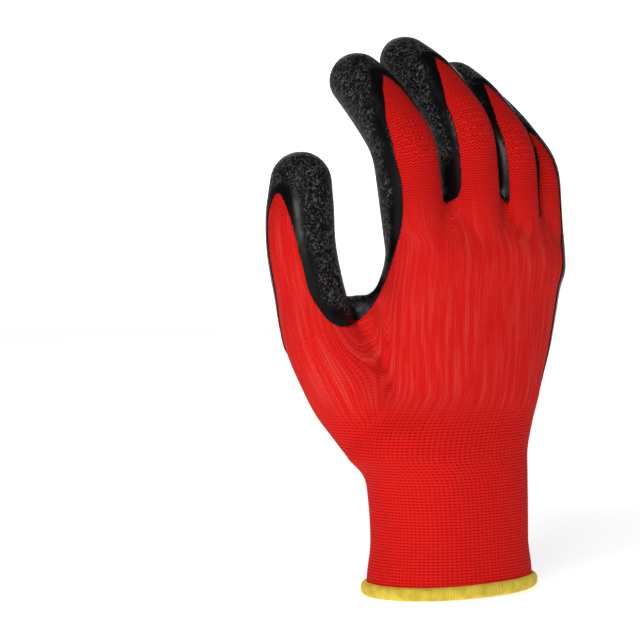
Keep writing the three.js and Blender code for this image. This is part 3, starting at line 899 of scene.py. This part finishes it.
def latex_material():
    """Natural latex, dipped and crinkled while it sets: black rubber with worm-like ridges 1.5 mm apart,
    whose tops glint and carry a painted highlight: they are painted grey. The dip stays smooth and glossier
    for some millimetres from its edge."""
    material, tree = new_material("black_crinkled_latex")
    place = add_node(tree, "ShaderNodeTexCoord")
    inside = add_node(tree, "ShaderNodeAttribute", attribute_name="inside")
    wander = add_node(tree, "ShaderNodeTexNoise", {"Vector": place.outputs["Object"]}, Scale=110.0,
                      Detail=2.0)
    wandering = add_node(tree, "ShaderNodeMath", {0: wander.outputs[0], 2: inside.outputs["Fac"]},
                         operation="MULTIPLY_ADD", i1=9.0)
    crinkled = add_node(tree, "ShaderNodeMapRange", {0: wandering.outputs[0]},
                        interpolation_type="SMOOTHSTEP", From_Min=7.0, From_Max=10.5)
    swells = add_node(tree, "ShaderNodeTexNoise", {"Vector": place.outputs["Object"]}, Scale=620.0,
                      Detail=1.0, Distortion=0.5)
    fold = add_node(tree, "ShaderNodeMath", {0: swells.outputs[0]}, operation="MULTIPLY", i1=3.0)
    folds = add_node(tree, "ShaderNodeMath", {0: fold.outputs[0]}, operation="PINGPONG", i1=0.5)
    ridges = add_node(tree, "ShaderNodeMapRange", {0: folds.outputs[0]}, interpolation_type="SMOOTHSTEP",
                      From_Min=0.12, From_Max=0.5)
    breaks = add_node(tree, "ShaderNodeTexNoise", {"Vector": place.outputs["Object"]}, Scale=900.0,
                      Detail=1.0)
    broken = add_node(tree, "ShaderNodeMapRange", {0: breaks.outputs[0]}, interpolation_type="SMOOTHSTEP",
                      From_Min=0.3, From_Max=0.55)
    short = add_node(tree, "ShaderNodeMath", {0: ridges.outputs[0], 1: broken.outputs[0]},
                     operation="MULTIPLY")
    height = add_node(tree, "ShaderNodeMath", {0: short.outputs[0], 1: crinkled.outputs[0]},
                      operation="MULTIPLY")
    top = add_node(tree, "ShaderNodeMapRange", {0: height.outputs[0]}, interpolation_type="SMOOTHSTEP",
                   From_Min=0.3, From_Max=0.95)
    # Painted highlight: the ridge tops are painted grey (#505052) on the black, as glints on the crinkles
    colour = add_node(tree, "ShaderNodeMix", {0: top.outputs[0]}, data_type="RGBA",
                      i6=linear("#070708"), i7=linear("#505052"))
    dents = add_node(tree, "ShaderNodeTexNoise", {"Vector": place.outputs["Object"]}, Scale=42.0, Detail=2.0)
    bends = add_node(tree, "ShaderNodeBump", {"Height": dents.outputs[0]}, Strength=0.5, Distance=2.5 * MM)
    crinkles = add_node(tree, "ShaderNodeBump", {"Height": height.outputs[0], "Normal": bends.outputs[0]},
                        Strength=0.9, Distance=0.45 * MM)
    gloss = add_node(tree, "ShaderNodeMapRange", {0: crinkled.outputs[0]}, To_Min=0.3, To_Max=0.46)
    shader = add_node(tree, "ShaderNodeBsdfPrincipled",
                      {"Base Color": colour.outputs[2], "Normal": crinkles.outputs[0],
                       "Roughness": gloss.outputs[0]}, IOR=1.52, Specular_IOR_Level=0.16)
    add_node(tree, "ShaderNodeOutputMaterial", {"Surface": shader.outputs[0]})
    return material


def hem_material():
    """Bulked polyester overlock yarn: matt yellow, with fine fibres and threads that differ a little."""
    material, tree = new_material("yellow_overlock_yarn")
    place = add_node(tree, "ShaderNodeTexCoord")
    shades = add_node(tree, "ShaderNodeTexNoise", {"Vector": place.outputs["Object"]}, Scale=260.0,
                      Detail=3.0)
    fibres = add_node(tree, "ShaderNodeTexNoise", {"Vector": place.outputs["Object"]}, Scale=2400.0,
                      Detail=2.0)
    shade = add_node(tree, "ShaderNodeMapRange", {0: shades.outputs[0]}, From_Min=0.3, From_Max=0.7)
    colour = add_node(tree, "ShaderNodeMix", {0: shade.outputs[0]}, data_type="RGBA",
                      i6=linear("#C4AC34"), i7=linear("#E2CE50"))
    fuzz = add_node(tree, "ShaderNodeBump", {"Height": fibres.outputs[0]}, Strength=0.6, Distance=0.2 * MM)
    shader = add_node(tree, "ShaderNodeBsdfPrincipled",
                      {"Base Color": colour.outputs[2], "Normal": fuzz.outputs[0]}, Roughness=0.9,
                      Specular_IOR_Level=0.2, Sheen_Weight=0.1)
    add_node(tree, "ShaderNodeOutputMaterial", {"Surface": shader.outputs[0]})
    return material


for piece, material in ((glove, knit_material()), (coat, latex_material()), (hem, hem_material())):
    piece.data.materials.clear()
    piece.data.materials.append(material)


# Camera, floor and light

def sweep_material(away):
    """White sheet that a small thing stands on to be photographed, plain white with a painted glow: it gives
    off light of its own, stronger where it rises than on the floor and fading towards its sides."""
    material, tree = new_material("white_sweep_painted_glow")
    place = add_node(tree, "ShaderNodeTexCoord")
    split = add_node(tree, "ShaderNodeSeparateXYZ", {0: place.outputs["Object"]})
    # Painted glow: the sheet's emission is its own light, weaker out to the sides and stronger up the rise
    across = add_node(tree, "ShaderNodeVectorMath", {0: place.outputs["Object"]}, operation="DOT_PRODUCT",
                      i1=(away.y, -away.x, 0))
    aside = add_node(tree, "ShaderNodeMath", {0: across.outputs["Value"]}, operation="ABSOLUTE")
    table = add_node(tree, "ShaderNodeMapRange", {0: aside.outputs[0]}, interpolation_type="SMOOTHSTEP",
                     From_Min=0.5, From_Max=1.2, To_Min=1.0, To_Max=0.3)
    wall = add_node(tree, "ShaderNodeMapRange", {0: split.outputs[2]},
                    From_Min=0.0, From_Max=0.05, To_Min=0.7, To_Max=1.05)
    painted_glow = add_node(tree, "ShaderNodeMath", {0: table.outputs[0], 1: wall.outputs[0]}, operation="MULTIPLY")
    shader = add_node(tree, "ShaderNodeBsdfPrincipled", {"Emission Strength": painted_glow.outputs[0]}, Roughness=0.9,
                      Specular_IOR_Level=0.1)
    shader.inputs["Base Color"].default_value = linear("#F4F4F4")
    shader.inputs["Emission Color"].default_value = linear("#FFFFFF")
    add_node(tree, "ShaderNodeOutputMaterial", {"Surface": shader.outputs[0]})
    return material


# The camera's turn round the glove and rise over it, in degrees, its distance and aim, in metres, and its
# lens and sensor, in millimetres.
VIEW_TURN, VIEW_RISE, VIEW_AWAY = math.radians(-42), math.radians(3), 1.5
VIEW_AIM = Vector((-0.03864, 0.03479, 0.1094))
VIEW_LENS, VIEW_SENSOR = 210.94, 36
towards = Vector((math.sin(VIEW_TURN) * math.cos(VIEW_RISE), -math.cos(VIEW_TURN) * math.cos(VIEW_RISE),
                  math.sin(VIEW_RISE)))
camera = bpy.data.objects.new("camera", bpy.data.cameras.new("camera"))
camera.location = VIEW_AIM + towards * VIEW_AWAY
camera.rotation_euler = (-towards).to_track_quat("-Z", "Y").to_euler()
camera.data.lens = VIEW_LENS
camera.data.sensor_width = VIEW_SENSOR
bpy.context.scene.collection.objects.link(camera)
bpy.context.scene.camera = camera

# Soft boxes that face the glove's middle: place and size in metres, power in watts.
LIT_PLACE = Vector((0, 0, 0.11))
LIGHTS = [
    {"name": "key", "place": (-1.4, -0.85, 1.0), "size": 0.8, "power": 22},
    {"name": "fill", "place": (-0.2, -1.8, 0.5), "size": 1.0, "power": 1},
    {"name": "rim", "place": (0.6, 1.2, 0.9), "size": 0.8, "power": 3},
]


def soft_light(name, place, size, power):
    """A square soft box that faces the glove."""
    light = bpy.data.objects.new(name, bpy.data.lights.new(name, "AREA"))
    light.location = place
    light.rotation_euler = (Vector(place) - LIT_PLACE).to_track_quat("Z", "Y").to_euler()
    light.data.size = size
    light.data.energy = power
    bpy.context.scene.collection.objects.link(light)


def sweep():
    """Floor and backdrop as one curved sheet, behind the glove as the camera sees it."""
    front, back, bend, high, wide = -4.0, 2.6, 0.7, 1.8, 5.2
    rows = 24
    away = Vector((-towards.x, -towards.y, 0)).normalized()
    across = Vector((away.y, -away.x, 0))
    bm = bmesh.new()
    sheet = bmesh.ops.create_grid(bm, x_segments=1, y_segments=rows, size=0.5)["verts"]
    for vert in sheet:
        row = round((vert.co.y + 0.5) * rows)
        if row == 0:
            depth, height = front, 0
        elif row == rows:
            depth, height = back + bend, high
        else:
            rise = (row - 1) / (rows - 2) * math.pi / 2
            depth, height = back + bend * math.sin(rise), bend * (1 - math.cos(rise))
        vert.co = away * depth + across * vert.co.x * wide + Vector((0, 0, height))
    backdrop = new_piece("sweep", bm)
    backdrop.data.materials.append(sweep_material(away))


def studio_room():
    """The room that the glove reflects: white low down and dim above."""
    world = bpy.data.worlds.new("studio")
    world.use_nodes = True
    tree = world.node_tree
    direction = add_node(tree, "ShaderNodeTexCoord")
    split = add_node(tree, "ShaderNodeSeparateXYZ", {0: direction.outputs["Generated"]})
    room = add_node(tree, "ShaderNodeMapRange", {0: split.outputs[2]}, interpolation_type="SMOOTHSTEP",
                    From_Min=0.05, From_Max=0.3, To_Min=0.4, To_Max=0.05)
    background = tree.nodes["Background"]
    background.inputs["Color"].default_value = linear("#FFFFFF")
    tree.links.new(room.outputs[0], background.inputs["Strength"])
    bpy.context.scene.world = world


sweep()
for light in LIGHTS:
    soft_light(**light)
studio_room()
bpy.context.scene.view_settings.view_transform = "Standard"
